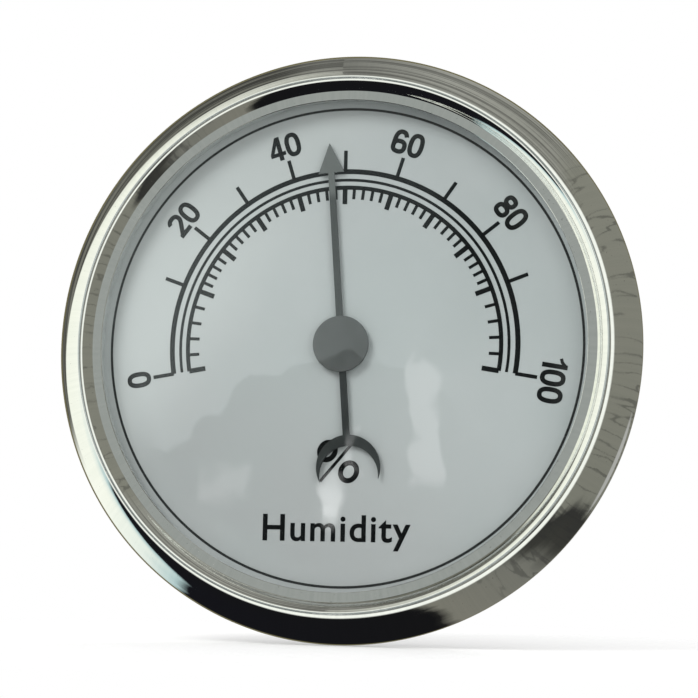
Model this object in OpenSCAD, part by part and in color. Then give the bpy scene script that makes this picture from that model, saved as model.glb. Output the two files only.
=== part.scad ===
// Dial hygrometer: a hygroscopic coil behind a round dial turns a pointer, in a
// shallow plastic cup closed by a rolled metal bezel with a flat glass.
// All sizes are millimetres. The dial faces -Y and +Z is up. The origin is the
// centre of the rear face of the cup, the face that lies against a wall.
// Each module is drawn flat, with x to the right, y up and z as the height in
// front of the rear face, and facing_front() then stands it up.

/* [Case] */
// Outer diameter of the bezel
bezel_d = 70; // [66:1:78]
// Overall depth, from the rear face of the cup to the crest of the bezel
total_depth = 15.2; // [15:0.1:17]
// Diameter of the rear cup
cup_d = 50; // [48:0.5:51]
// Depth of the cup behind the flange
cup_depth = 9.25; // [9:0.25:10]
// Thickness of the rear wall of the cup
rear_wall = 1.5; // [1.2:0.1:1.6]
// Thickness of the side wall of the cup
side_wall = 1.3; // [1:0.1:1.6]
// Thickness of the flange
flange_t = 2; // [1.8:0.1:2.2]

/* [Vents] */
// Number of vent slots around the cup
vent_count = 8; // [4:1:12]
// Radial width of each vent slot
vent_w = 2.35; // [1.5:0.05:2.6]
// Height of the raised ribs between the slots, behind the flange
rib_rise = 1.1; // [0.5:0.1:2]
// Gap between the front edge of the cup wall and the back of the dial
air_gap = 0.6; // [0.4:0.1:1]

/* [Rear openings] */
// Diameter of the round end of the keyhole
keyhole_head_d = 4.8; // [4:0.1:6]
// Height of the round end of the keyhole above the centre
keyhole_z = 15.4; // [14:0.1:16]
// Width of the narrow end of the keyhole
keyhole_slot_w = 2.8; // [2:0.1:3.5]
// Height of the centre of the narrow end above the centre
keyhole_top_z = 19.8; // [19:0.1:20.5]
// Diameter of the lower hole
lower_hole_d = 4.7; // [3:0.1:6]
// Distance of the lower hole below the centre
lower_hole_z = 15.5; // [14:0.1:17]
// Diameter of the centre hole, over the calibration screw
centre_hole_d = 5.5; // [4.8:0.1:6.5]

/* [Bezel and glass] */
// Thickness of the bezel metal
bezel_t = 0.6; // [0.4:0.05:0.7]
// Radial distance from the crest of the bezel to its outside
bezel_slope_w = 3.6; // [3.2:0.1:4]
// Radius of the opening in the bezel
bezel_opening_r = 28.9; // [28:0.1:29]
// Radius to which the rear lip of the bezel reaches in
rear_lip_r = 32.5; // [32:0.1:33]
// Thickness of the glass
glass_t = 1; // [0.8:0.1:1.1]
// Drop from the crest of the bezel to the glass
glass_recess = 1.2; // [1.1:0.1:1.4]

/* [Dial] */
// Thickness of the dial board
dial_board_t = 0.5; // [0.3:0.05:0.6]
// Thickness of the printed sheet on the board
dial_sheet_t = 0.12; // [0.1:0.01:0.2]

/* [Pointer] */
// Reading at rest, in degrees clockwise from the 50 mark
pointer_rest = -4.5; // [-99:0.5:99]
// Distance from the centre to the tip of the pointer
pointer_tip_r = 24.2; // [18:0.1:27]
// Length of the arrowhead
arrow_len = 3.6; // [2:0.1:6]
// Half width of the arrowhead
arrow_half_w = 1.54; // [1:0.01:2.5]
// Width of the shaft of the pointer
pointer_w = 0.8; // [0.6:0.05:1.4]
// Thickness of the pointer
pointer_t = 0.25; // [0.2:0.01:0.3]
// Diameter of the disc over the centre
hub_d = 6.66; // [5:0.02:9]

/* [Movement] */
// Number of turns of the coil
coil_turns = 5; // [3:1:6]
// Height of the coil strip
coil_strip_h = 3.2; // [2:0.1:3.4]
// Thickness of the metal layer of the coil
coil_metal_t = 0.12; // [0.1:0.01:0.14]
// Thickness of the moisture sensitive layer of the coil
coil_film_t = 0.12; // [0.1:0.01:0.14]
// Diameter of the arbor
arbor_d = 1.2; // [1:0.1:1.4]
// Diameter of the rear pivot of the arbor
pivot_d = 0.7; // [0.5:0.05:0.8]
// Radial clearance of the running fits
running_gap = 0.03; // [0.02:0.01:0.05]

/* [Hidden] */
$fn = 96;
eps = 0.01;

// Case: radii and heights in front of the rear face
bezel_r = bezel_d / 2;
cup_r = cup_d / 2;
cup_inner_r = cup_r - side_wall;
vent_r = cup_r + vent_w;
flange_back = cup_depth;
flange_front = flange_back + flange_t;
crest_r = bezel_r - bezel_slope_w;
crest_h = total_depth;
lip_outer_r = bezel_r - 0.9;
side_h = 1.6;
shoulder_h = flange_back + side_h;
front_lip_t = 0.15;
front_lip_w = 1.1;
slope_power = 1.2;
slope_steps = 18;
glass_front = crest_h - glass_recess;
glass_back = glass_front - glass_t;
lip_gap = 0.05;
flange_r = lip_outer_r - 0.2;
flange_step_r = rear_lip_r - 0.15;
flange_edge_round = 0.35;
cup_edge_round = 0.4;
neck_r = cup_r - 0.3;
vent_undercut = 0.5;
vent_over = 0.05;
vent_pitch = 360 / vent_count;

// Dial stack
dial_front = flange_front + dial_board_t;
sheet_front = dial_front + dial_sheet_t;
dial_board_r = flange_r - 2;
dial_sheet_r = dial_board_r - 0.1;
spacer_inner_r = bezel_opening_r + 0.4;
spacer_outer_r = dial_board_r + 0.1;
lens_r = crest_r + 1;
bush_sleeve_d = 3;
bush_flange_d = 6;
bush_flange_t = 0.5;
bush_sunk = 0.1;
sheet_hole_d = bush_sleeve_d + 0.4;

// Pointer and its hub
pointer_back = sheet_front + 0.33;
pointer_front = pointer_back + pointer_t;
hub_t = 0.3;
hub_front = pointer_front + hub_t;
hub_boss_d = 2.2;
hub_boss_back = pointer_back - 0.2;
hub_bore_end = hub_front - 0.15;
tail_reach = 11.6;
crescent_r = 3.8;
crescent_z = -14.5;
crescent_cut_r = 3.5;
crescent_cut_z = -15.5;

// Calibration screw, its plate and its washer
screw_head_d = 4.6;
screw_head_back = rear_wall + 0.4;
screw_slot_w = 0.9;
screw_slot_depth = 0.5;
collar_d = 7.2;
collar_back = screw_head_back + 0.7;
collar_front = collar_back + 0.8;
plate_back = collar_front + 0.9;
plate_t = 0.8;
plate_front = plate_back + plate_t;
shank_d = 4;
arm_back = plate_front + 0.05;
arm_t = 0.6;
arm_front = arm_back + arm_t;
arm_seat_d = 3.4;
arm_hub_r = 3.6;
arm_w = 2.4;
rear_bush_d = 2.2;
rear_bush_back = plate_back + 0.1;
rear_bush_front = arm_front + 0.1;
washer_t = 0.3;
washer_inner_r = shank_d / 2 + 0.1;
washer_outer_r = collar_d / 2 - 0.2;

// Posts of the housing that hold the movement plate, and their screws
post_x = 15.5;
post_d = 5;
post_bore_d = 1.8;
post_bore_back = rear_wall - 0.6;
plate_end_r = 3.8;
plate_w = 7;
plate_centre_r = 6;
plate_screw_hole_d = 2.3;
screw_pan_d = 3.8;
screw_pan_t = 1.1;
screw_len = 3.2;
screw_cross_w = 0.6;
screw_cross_len = 2.2;
screw_cross_depth = 0.5;

// Arbor and the pieces on it
arbor_back = rear_bush_front + 0.1;
pivot_back = rear_bush_back + 0.15;
bush_back = flange_front - bush_flange_t;
washer_gap = 0.15;
thrust_t = 0.3;
thrust_d = 2.8;
collet_front = bush_back - washer_gap - thrust_t;
collet_back = arbor_back + 0.15;
collet_d = 3.4;

// Coil: a spiral that starts beside the collet and ends in the slit of its post
coil_back = collet_back + 0.3;
coil_t = coil_metal_t + coil_film_t;
coil_start_r = collet_d / 2 + 0.03 + coil_t / 2;
coil_end_r = 10.4;
coil_steps_per_turn = 40;
coil_steps = coil_turns * coil_steps_per_turn;
coil_pitch = (coil_end_r - coil_start_r) / coil_turns;
coil_end_angle = -90;
coil_overrun = 8;
coil_post_d = 1.6;
coil_post_front = coil_back + coil_strip_h + 0.2;
coil_slit_w = coil_t + 0.14;

// Stands a flat drawing up: its front goes to -Y and its top to +Z
module facing_front() {
    rotate([90, 0, 0])
        children();
}

// Moves a drawing forward, to a height in front of the rear face
module at_height(h) {
    translate([0, 0, h])
        children();
}

// A tube from height h0 to height h1, open where bore_d is above 0
module round_part(d, h0, h1, bore_d = 0) {
    at_height(h0)
        difference() {
            cylinder(d = d, h = h1 - h0);
            if (bore_d > 0)
                translate([0, 0, -1])
                    cylinder(d = bore_d, h = h1 - h0 + 2);
        }
}

// Points of a quarter superellipse, from its outer side to its top
function slope_points(centre, width, height) = [
    for (i = [0 : slope_steps])
        let (a = 90 * i / slope_steps)
        [
            centre.x + width * pow(max(cos(a), 0), slope_power),
            centre.y + height * pow(max(sin(a), 0), slope_power)
        ]
];

// Points of a circular arc
function arc_points(centre, r, from, to, steps) = [
    for (i = [0 : steps])
        let (a = from + (to - from) * i / steps)
        centre + r * [cos(a), sin(a)]
];

// Points of a cubic curve, without its first one
function curve_points(p0, p1, p2, p3, steps) = [
    for (i = [1 : steps])
        let (t = i / steps, s = 1 - t)
        s * s * s * p0 + 3 * s * s * t * p1 + 3 * s * t * t * p2 + t * t * t * p3
];

// Section of the rolled bezel, from its rear lip over the crest to the glass and back
function bezel_section() =
    let (
        overhang = bezel_r - lip_outer_r,
        side_r = (overhang * overhang + side_h * side_h) / (2 * overhang),
        side_centre = [bezel_r - side_r, shoulder_h],
        inner_side_r = side_r - bezel_t,
        shoulder = [crest_r, shoulder_h],
        crest = [crest_r, crest_h],
        rise = crest_h - shoulder_h,
        edge = [bezel_opening_r, glass_front + front_lip_t],
        corner = edge + [front_lip_w, 0],
        under_crest = [crest_r, crest_h - bezel_t],
        under_edge = [corner.x + 0.25, glass_front]
    )
    concat(
        [[rear_lip_r, flange_back]],
        arc_points(side_centre, side_r, -asin(side_h / side_r), 0, 8),
        slope_points(shoulder, bezel_slope_w, rise),
        curve_points(crest, crest - [0.7, 0], corner + [0.3, 0.28], corner, 12),
        [edge, [bezel_opening_r, glass_front], under_edge],
        curve_points(under_edge, under_edge + [0.3, 0.25], under_crest - [0.5, 0], under_crest, 6),
        reverse(slope_points(shoulder, bezel_slope_w - bezel_t, rise - bezel_t)),
        arc_points(side_centre, inner_side_r, 0, -asin((side_h - bezel_t) / inner_side_r), 6),
        [[rear_lip_r, flange_back + bezel_t]]
    );

function reverse(list) = [for (i = [len(list) - 1 : -1 : 0]) list[i]];

// Section of the moulded case: rear wall, side wall, rib ring and flange, whose edge
// is stepped for the rear lip of the bezel
function case_section() =
    let (
        rib_back = flange_back - rib_rise,
        wall_front = flange_front - air_gap,
        step_h = flange_back + bezel_t + lip_gap,
        cup_edge = [cup_r - cup_edge_round, cup_edge_round],
        flange_edge = [flange_step_r - flange_edge_round, flange_back + flange_edge_round]
    )
    concat(
        [[0, 0]],
        arc_points(cup_edge, cup_edge_round, -90, 0, 5),
        [
            [cup_r, rib_back],
            [vent_r, rib_back],
            [vent_r, flange_back]
        ],
        arc_points(flange_edge, flange_edge_round, -90, 0, 4),
        [
            [flange_step_r, step_h],
            [flange_r, step_h],
            [flange_r, flange_front],
            [vent_r, flange_front],
            [vent_r, wall_front],
            [cup_inner_r, wall_front],
            [cup_inner_r, rear_wall],
            [0, rear_wall]
        ]
    );

// One vent slot, drawn as a solid to cut out of the rib ring; it undercuts the cup
// wall to the neck radius and reaches a little past the ring
module vent_cut() {
    vent_angle = vent_pitch / 2;
    cut_back = flange_back - rib_rise - vent_undercut;
    rotate([0, 0, -vent_angle / 2])
        rotate_extrude(angle = vent_angle)
            translate([neck_r, cut_back])
                square([vent_r + vent_over - neck_r, flange_front + 1 - cut_back]);
}

// Hanging keyhole, drawn as a solid to cut out
module keyhole_cut() {
    at_height(-1) {
        translate([0, keyhole_z])
            cylinder(d = keyhole_head_d, h = rear_wall + 2);
        translate([0, keyhole_top_z])
            cylinder(d = keyhole_slot_w, h = rear_wall + 2);
        translate([-keyhole_slot_w / 2, keyhole_z])
            cube([keyhole_slot_w, keyhole_top_z - keyhole_z, rear_wall + 2]);
    }
}

module housing() {
    color("#3a3a3b")
        facing_front()
            difference() {
                union() {
                    rotate_extrude()
                        polygon(case_section());
                    for (side = [-1, 1])
                        translate([side * post_x, 0])
                            round_part(post_d, rear_wall - 0.2, plate_back);
                }
                for (i = [0 : vent_count - 1])
                    rotate([0, 0, 90 + (i + 0.5) * vent_pitch])
                        vent_cut();
                keyhole_cut();
                round_part(centre_hole_d, -1, rear_wall + 1);
                translate([0, -lower_hole_z])
                    round_part(lower_hole_d, -1, rear_wall + 1);
                for (side = [-1, 1])
                    translate([side * post_x, 0])
                        round_part(post_bore_d, post_bore_back, plate_back + 1);
            }
}

module bezel() {
    color("#d9dbdb")
        facing_front()
            rotate_extrude()
                polygon(bezel_section());
}

module lens() {
    color("#e8f2f2", 0.35)
        facing_front()
            round_part(2 * lens_r, glass_back, glass_front);
}

// Keeps the glass off the pointer
module spacer_ring() {
    color("#b9bcbb")
        facing_front()
            round_part(2 * spacer_outer_r, sheet_front, glass_back, 2 * spacer_inner_r);
}

module dial_board() {
    color("#af9e70")
        facing_front()
            round_part(2 * dial_board_r, flange_front, dial_front, bush_sleeve_d);
}

module dial_sheet() {
    color("#b2bebc")
        facing_front()
            round_part(2 * dial_sheet_r, dial_front, sheet_front, sheet_hole_d);
}

// Front bearing of the arbor
module dial_bush() {
    bore = arbor_d + 2 * running_gap;
    color("#b5934a")
        facing_front() {
            difference() {
                union() {
                    round_part(bush_flange_d, bush_back, flange_front);
                    round_part(bush_sleeve_d, flange_front - eps, sheet_front - bush_sunk);
                }
                round_part(bore, bush_back - 1, sheet_front + 1);
            }
        }
}

// Strip across the cup that holds the calibration screw
module movement_plate() {
    bore = shank_d + 2 * running_gap;
    color("#c2a45c")
        facing_front()
            at_height(plate_back)
                difference() {
                    linear_extrude(plate_t)
                        union() {
                            square([2 * post_x, plate_w], center = true);
                            circle(plate_centre_r);
                            for (side = [-1, 1])
                                translate([side * post_x, 0])
                                    circle(plate_end_r);
                        }
                    translate([0, 0, -1])
                        cylinder(d = bore, h = plate_t + 2);
                    for (side = [-1, 1])
                        translate([side * post_x, 0, -1])
                            cylinder(d = plate_screw_hole_d, h = plate_t + 2);
                }
}

// Pan head screw with a cross recess, its head on the movement plate
module movement_screw() {
    difference() {
        union() {
            round_part(post_bore_d, plate_front - screw_len, plate_front + eps);
            round_part(screw_pan_d, plate_front, plate_front + screw_pan_t);
        }
        for (turn = [0, 90])
            rotate([0, 0, turn])
                translate([-screw_cross_len / 2, -screw_cross_w / 2, plate_front + screw_pan_t - screw_cross_depth])
                    cube([screw_cross_len, screw_cross_w, 1]);
    }
}

module movement_screws() {
    color("#a8acb0")
        facing_front()
            for (side = [-1, 1])
                translate([side * post_x, 0])
                    movement_screw();
}

// Slotted screw behind the centre hole, which turns the outer end of the coil
module calibration_screw() {
    color("#55585a")
        facing_front()
            difference() {
                union() {
                    round_part(screw_head_d, screw_head_back, collar_back + eps);
                    round_part(collar_d, collar_back, collar_front);
                    round_part(shank_d, collar_front - eps, arm_back);
                    round_part(arm_seat_d, arm_back - eps, arm_front);
                }
                round_part(rear_bush_d, rear_bush_back, arm_front + 1);
                translate([-screw_head_d, -screw_slot_w / 2, screw_head_back - 1])
                    cube([2 * screw_head_d, screw_slot_w, 1 + screw_slot_depth]);
            }
}

// Dished spring washer that keeps the calibration screw stiff
module friction_washer() {
    color("#9c8243")
        facing_front()
            rotate_extrude()
                polygon([
                    [washer_inner_r, collar_front],
                    [washer_outer_r, plate_back - washer_t],
                    [washer_outer_r, plate_back],
                    [washer_inner_r, collar_front + washer_t]
                ]);
}

// Rear bearing of the arbor
module rear_bush() {
    color("#b5934a")
        facing_front()
            round_part(rear_bush_d, rear_bush_back, rear_bush_front, pivot_d + 2 * running_gap);
}

// Lever on the calibration screw that carries the post of the coil
module regulator_arm() {
    color("#c2a45c")
        facing_front()
            at_height(arm_back)
                difference() {
                    linear_extrude(arm_t)
                        rotate(coil_end_angle)
                            union() {
                                circle(arm_hub_r);
                                translate([0, -arm_w / 2])
                                    square([coil_end_r, arm_w]);
                                translate([coil_end_r, 0])
                                    circle(d = arm_w);
                            }
                    translate([0, 0, -1])
                        cylinder(d = arm_seat_d, h = arm_t + 2);
                }
}

// Post with a slit for the outer end of the coil
module coil_post() {
    color("#c9ccce")
        facing_front()
            rotate([0, 0, coil_end_angle])
                difference() {
                    translate([coil_end_r, 0])
                        round_part(coil_post_d, arm_front, coil_post_front);
                    translate([coil_end_r - coil_slit_w / 2, -coil_post_d, coil_back - 0.1])
                        cube([coil_slit_w, 2 * coil_post_d, coil_post_front]);
                }
}

// Centre line of the coil, offset outwards, at step i
function coil_point(i, offset) =
    let (
        turned = i / coil_steps_per_turn,
        r = coil_start_r + coil_pitch * turned + offset,
        a = coil_end_angle + 360 * (turned - coil_turns)
    )
    r * [cos(a), sin(a)];

// One layer of the coil, between two offsets from its centre line
module coil_layer(inner, outer) {
    last = coil_steps + coil_overrun / 360 * coil_steps_per_turn;
    steps = [for (i = [0 : coil_steps]) i];
    at_height(coil_back)
        linear_extrude(coil_strip_h)
            polygon(concat(
                [for (i = concat(steps, [last])) coil_point(i, outer)],
                [for (i = concat([last], reverse(steps))) coil_point(i, inner)]
            ));
}

module coil_metal_strip() {
    color("#b7a98f")
        facing_front()
            coil_layer(coil_t / 2 - coil_metal_t, coil_t / 2);
}

module coil_moisture_film() {
    color("#e3ddcb")
        facing_front()
            coil_layer(-coil_t / 2, coil_t / 2 - coil_metal_t);
}

module arbor() {
    color("#c9ccce")
        facing_front()
            union() {
                round_part(pivot_d, pivot_back, arbor_back + eps);
                round_part(arbor_d, arbor_back, hub_bore_end);
            }
}

// Bush that joins the inner end of the coil to the arbor
module coil_collet() {
    color("#b5934a")
        facing_front()
            round_part(collet_d, collet_back, collet_front, arbor_d);
}

module thrust_washer() {
    color("#e4e2da")
        facing_front()
            round_part(thrust_d, collet_front, collet_front + thrust_t, arbor_d);
}

// Outline of the pointer, upright: arrowhead, shaft and crescent tail
module pointer_outline() {
    polygon([
        [-arrow_half_w, pointer_tip_r - arrow_len],
        [arrow_half_w, pointer_tip_r - arrow_len],
        [0, pointer_tip_r]
    ]);
    translate([-pointer_w / 2, -tail_reach])
        square([pointer_w, tail_reach + pointer_tip_r - arrow_len / 2]);
    circle(d = hub_d - 1);
    difference() {
        translate([0, crescent_z])
            circle(crescent_r);
        translate([0, crescent_cut_z])
            circle(crescent_cut_r);
    }
}

module pointer() {
    color("#5a6262")
        facing_front()
            rotate([0, 0, -pointer_rest])
                at_height(pointer_back)
                    linear_extrude(pointer_t)
                        difference() {
                            pointer_outline();
                            circle(d = hub_boss_d);
                        }
}

// Disc over the centre, with a boss that grips the arbor
module pointer_hub() {
    color("#5a6262")
        facing_front()
            difference() {
                union() {
                    round_part(hub_boss_d, hub_boss_back, pointer_front + eps);
                    round_part(hub_d, pointer_front, hub_front);
                }
                round_part(arbor_d, hub_boss_back - 1, hub_bore_end);
            }
}

housing();
bezel();
lens();
spacer_ring();
dial_board();
dial_sheet();
dial_bush();
movement_plate();
movement_screws();
calibration_screw();
friction_washer();
rear_bush();
regulator_arm();
coil_post();
coil_metal_strip();
coil_moisture_film();
arbor();
coil_collet();
thrust_washer();
pointer();
pointer_hub();
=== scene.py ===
"""Dial hygrometer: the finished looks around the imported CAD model.

Shapes are worked out in millimetres in the plane of the dial: x to the right, z up
and h the height in front of the rear face. Angles on the dial run clockwise from
the top. place() gives such a point in the frame's axes, and to_metres() scales a
finished mesh.
"""

import math

import bmesh
import bpy
from mathutils import Matrix, Vector


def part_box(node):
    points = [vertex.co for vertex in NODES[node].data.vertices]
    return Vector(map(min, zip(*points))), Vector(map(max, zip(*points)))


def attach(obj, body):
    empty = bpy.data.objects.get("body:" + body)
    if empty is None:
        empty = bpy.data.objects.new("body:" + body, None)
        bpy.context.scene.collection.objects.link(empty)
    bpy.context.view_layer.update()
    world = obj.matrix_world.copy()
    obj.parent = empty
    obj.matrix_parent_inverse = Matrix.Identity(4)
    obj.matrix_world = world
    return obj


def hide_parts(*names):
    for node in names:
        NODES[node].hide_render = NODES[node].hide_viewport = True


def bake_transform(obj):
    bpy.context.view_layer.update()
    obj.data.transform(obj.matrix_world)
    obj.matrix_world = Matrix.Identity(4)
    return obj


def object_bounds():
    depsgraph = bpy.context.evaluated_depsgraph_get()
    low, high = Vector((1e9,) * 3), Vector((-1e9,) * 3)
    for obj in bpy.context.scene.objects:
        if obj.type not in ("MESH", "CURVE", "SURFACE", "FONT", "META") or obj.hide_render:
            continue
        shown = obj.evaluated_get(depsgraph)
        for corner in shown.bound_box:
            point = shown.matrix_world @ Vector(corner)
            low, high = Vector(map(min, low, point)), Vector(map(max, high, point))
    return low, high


MM = 0.001

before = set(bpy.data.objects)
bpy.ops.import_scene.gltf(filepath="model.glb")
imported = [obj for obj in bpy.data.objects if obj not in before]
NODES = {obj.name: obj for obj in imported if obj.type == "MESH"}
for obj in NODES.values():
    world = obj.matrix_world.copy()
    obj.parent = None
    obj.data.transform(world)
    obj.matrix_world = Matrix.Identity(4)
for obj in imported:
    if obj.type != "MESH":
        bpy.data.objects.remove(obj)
CAD_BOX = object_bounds()


# ---------------------------------------------------------------- CAD sizes


def radius_of(node):
    """Outer radius of a round CAD node about the dial axis, in mm."""
    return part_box(node)[1].x / MM


def heights_of(node):
    """Rear and front height of a CAD node in front of the rear face, in mm."""
    low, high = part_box(node)
    return -high.y / MM, -low.y / MM


BEZEL_R = radius_of("bezel")
BEZEL_BACK, CREST_H = heights_of("bezel")
GLASS_R = radius_of("lens")
GLASS_FRONT = heights_of("lens")[1]
SHEET_FRONT = heights_of("dial_sheet")[1]
SHEET_R = radius_of("dial_sheet")
HUB_R = radius_of("pointer_hub")
HUB_BACK, HUB_FRONT = heights_of("pointer_hub")
POINTER_BACK, POINTER_FRONT = heights_of("pointer")
COIL_BACK, COIL_FRONT = heights_of("coil_metal_strip")
FLANGE_R = radius_of("housing")
FLANGE_FRONT = heights_of("housing")[1]
FLANGE_BACK = BEZEL_BACK

# Bezel
METAL_T = 0.6
CREST_R = BEZEL_R - 3.6
OPENING_R = 28.9
FRONT_LIP_T = 0.15
FRONT_LIP_W = 1.1
LIP_R = 32.5
LIP_OUTER_R = BEZEL_R - 0.9
SIDE_H = 1.6
SHOULDER_H = BEZEL_BACK + SIDE_H

# Case
CUP_R = 25.0
CUP_INNER_R = 23.7
REAR_WALL = 1.5
RIB_R = 27.35
RIB_RISE = 1.1
AIR_GAP = 0.6
NECK_R = 24.7
VENTS = 8
POST_X = 15.5
POST_R = 2.5
POST_HOLE_R = 0.9
POST_HOLE_BACK = 0.9
KEYHOLE_Z = 15.4
KEYHOLE_TOP_Z = 19.8
KEYHOLE_R = 2.4
KEYHOLE_SLOT_R = 1.4
ACCESS_R = 2.75
LOWER_HOLE_Z = -15.5
LOWER_HOLE_R = 2.35

# Dial
BORDER_R = 28.33
ARC_END = 99.6
ARC_OUTER_R = 20.74
ARC_MIDDLE_R = 19.71
ARC_INNER_R = 18.8
TENS_OUTER_R = 23.3
TENS_INNER_R = 16.8
TWOS_INNER_R = 17.4
NUMBERS_R = 23.6
INK_H = SHEET_FRONT + 0.015
INK_SINK = 0.01

# Pointer
POINTER_REST = -4.5
TIP_R = 24.2
ARROW_LEN = 3.6
ARROW_HALF = 1.54
CRESCENT = (3.8, -14.5)
CRESCENT_CUT = (3.5, -15.5)
POINTER_RING_R = HUB_R - 0.5
POINTER_EYE_R = 1.1

# Coil
COIL_TURNS = 5
COIL_R0 = 1.85
COIL_R1 = 10.4
LAYER_T = 0.12

# Camera, in mm and degrees, and the direction that the flat glass mirrors to it
CAMERA_DISTANCE = 214.0
CAMERA_ROLL = 1.2
CAMERA_SIDE, CAMERA_UP = math.radians(11.5), math.radians(-7.0)
MIRROR = Vector(
    (
        -math.sin(CAMERA_SIDE) * math.cos(CAMERA_UP),
        -math.cos(CAMERA_SIDE) * math.cos(CAMERA_UP),
        -math.sin(CAMERA_UP),
    )
)
# Direction of the camera's view, and of a light that the rear lip mirrors
BEHIND = Vector((MIRROR.x, -MIRROR.y, MIRROR.z))
REAR_LIGHT = Vector((0.683, 0.683, -0.259))
# Tones mirrored to each side of the dial axis, by their angle clockwise from the top
STUDIO_SIDES = (
    (0, (0.24, 0.24, 0.22, 1)),
    (22, (0.36, 0.36, 0.33, 1)),
    (48, (0.30, 0.30, 0.27, 1)),
    (54, (0.24, 0.24, 0.205, 1)),
    (122, (0.21, 0.21, 0.18, 1)),
    (125, (0.035, 0.035, 0.033, 1)),
    (133, (0.045, 0.045, 0.04, 1)),
    (139, (0.18, 0.18, 0.16, 1)),
    (156, (0.21, 0.205, 0.175, 1)),
    (159, (0.008, 0.008, 0.009, 1)),
    (211, (0.008, 0.008, 0.011, 1)),
    (214, (0.50, 0.66, 0.68, 1)),
    (222, (0.86, 0.93, 0.88, 1)),
    (236, (1.02, 1.04, 0.95, 1)),
    (285, (0.98, 1.0, 0.90, 1)),
    (322, (0.70, 0.71, 0.64, 1)),
    (345, (0.36, 0.36, 0.33, 1)),
    (360, (0.24, 0.24, 0.22, 1)),
)
# Bright patches in the glass: left, right, bottom, top in mm, and their light
GLASS_LIGHTS = (
    (-17.5, -11.0, -19.0, -12.5, 0.85),
    (-3.4, -0.3, -20.8, -15.6, 3.4),
    (-0.6, 1.9, -16.4, -9.2, 1.3),
    (7.0, 10.8, -16.0, 0.5, 1.3),
)


# ------------------------------------------------------------- mesh helpers


def place(x, z, h):
    """A point of the dial plane at height h, in the frame's axes, in mm."""
    return Vector((x, -h, z))


def polar(radius, degrees):
    """(x, z) of the point at a radius and an angle clockwise from the top."""
    a = math.radians(degrees)
    return radius * math.sin(a), radius * math.cos(a)


def shape_from(name, bm, sharp=35):
    """An object in mm from a bmesh, smooth except at edges sharper than sharp."""
    bmesh.ops.remove_doubles(bm, verts=bm.verts, dist=1e-5)
    bmesh.ops.recalc_face_normals(bm, faces=bm.faces)
    mesh = bpy.data.meshes.new(name)
    bm.to_mesh(mesh)
    bm.free()
    obj = bpy.data.objects.new(name, mesh)
    bpy.context.scene.collection.objects.link(obj)
    soften(obj, sharp)
    return obj


def soften(obj, sharp):
    """Shades a mesh smooth and marks the edges sharper than sharp degrees."""
    obj.data.polygons.foreach_set("use_smooth", [True] * len(obj.data.polygons))
    obj.data.set_sharp_from_angle(angle=math.radians(sharp))


def to_metres(obj):
    """Scales a finished mesh from mm to metres."""
    obj.data.transform(Matrix.Scale(MM, 4))
    return obj


def bake_modifiers(obj):
    """Swaps the mesh for the one its modifiers give."""
    graph = bpy.context.evaluated_depsgraph_get()
    mesh = bpy.data.meshes.new_from_object(obj.evaluated_get(graph))
    obj.modifiers.clear()
    obj.data = mesh
    mesh.name = obj.name


def remove(obj):
    """Deletes a helper object and its mesh."""
    mesh = obj.data
    bpy.data.objects.remove(obj)
    bpy.data.meshes.remove(mesh)


def revolve(bm, profile, segments, drift=None):
    """Turns a closed (radius, height) profile about the dial axis.

    drift(index, degrees) gives an extra radius for a profile point.
    """
    rings = []
    for s in range(segments):
        degrees = 360 * s / segments
        ring = []
        for i, (r, h) in enumerate(profile):
            extra = drift(i, degrees) if drift else 0
            ring.append(bm.verts.new(place(*polar(r + extra, degrees), h)))
        rings.append(ring)
    for s in range(segments):
        here, there = rings[s], rings[(s + 1) % segments]
        for i in range(len(profile)):
            j = (i + 1) % len(profile)
            bm.faces.new((here[i], there[i], there[j], here[j]))


def plate(bm, loops, h0, h1):
    """A flat piece from h0 to h1. The first loop is its outline, the rest are holes."""
    low, walls = [], []
    for loop in loops:
        ring = [bm.verts.new(place(x, z, h0)) for x, z in loop]
        low += ring
        walls += [(ring[i - 1], ring[i]) for i in range(len(ring))]
    edges = [bm.edges.new(pair) for pair in walls]
    filled = bmesh.ops.triangle_fill(bm, use_beauty=True, edges=edges)
    faces = [g for g in filled["geom"] if isinstance(g, bmesh.types.BMFace)]
    high = {v: bm.verts.new(v.co + place(0, 0, h1 - h0)) for v in low}
    for face in faces:
        bm.faces.new([high[v] for v in reversed(face.verts)])
    for a, b in walls:
        bm.faces.new((a, b, high[b], high[a]))


def ribbon(bm, points, width, h0, h1, closed=False):
    """A stroke of constant width along (x, z) points, from h0 to h1."""
    count = len(points)
    rings = []
    for i, (x, z) in enumerate(points):
        before = points[i - 1] if closed or i > 0 else points[i]
        after = points[(i + 1) % count] if closed or i < count - 1 else points[i]
        along = Vector((after[0] - before[0], after[1] - before[1])).normalized()
        nx, nz = -along.y * width / 2, along.x * width / 2
        corners = ((x + nx, z + nz, h0), (x - nx, z - nz, h0), (x - nx, z - nz, h1), (x + nx, z + nz, h1))
        rings.append([bm.verts.new(place(*c)) for c in corners])
    for i in range(count if closed else count - 1):
        here, there = rings[i], rings[(i + 1) % count]
        for k in range(4):
            m = (k + 1) % 4
            bm.faces.new((here[k], there[k], there[m], here[m]))
    if not closed:
        bm.faces.new(rings[0])
        bm.faces.new(list(reversed(rings[-1])))


def arc(radius, start, end, step=1.0):
    """Points of a circle about the dial axis from start to end, in degrees."""
    count = max(2, round(abs(end - start) / step))
    return [polar(radius, start + (end - start) * i / count) for i in range(count + 1)]


def circle(cx, cz, radius, count=64):
    """Closed circle of (x, z) points."""
    return [(cx + p[0], cz + p[1]) for p in (polar(radius, 360 * i / count) for i in range(count))]


def arc_section(cr, ch, radius, start, end, steps):
    """(radius, height) points of an arc in a section, angles from the radial axis."""
    points = []
    for i in range(steps + 1):
        a = math.radians(start + (end - start) * i / steps)
        points.append((cr + radius * math.cos(a), ch + radius * math.sin(a)))
    return points


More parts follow.
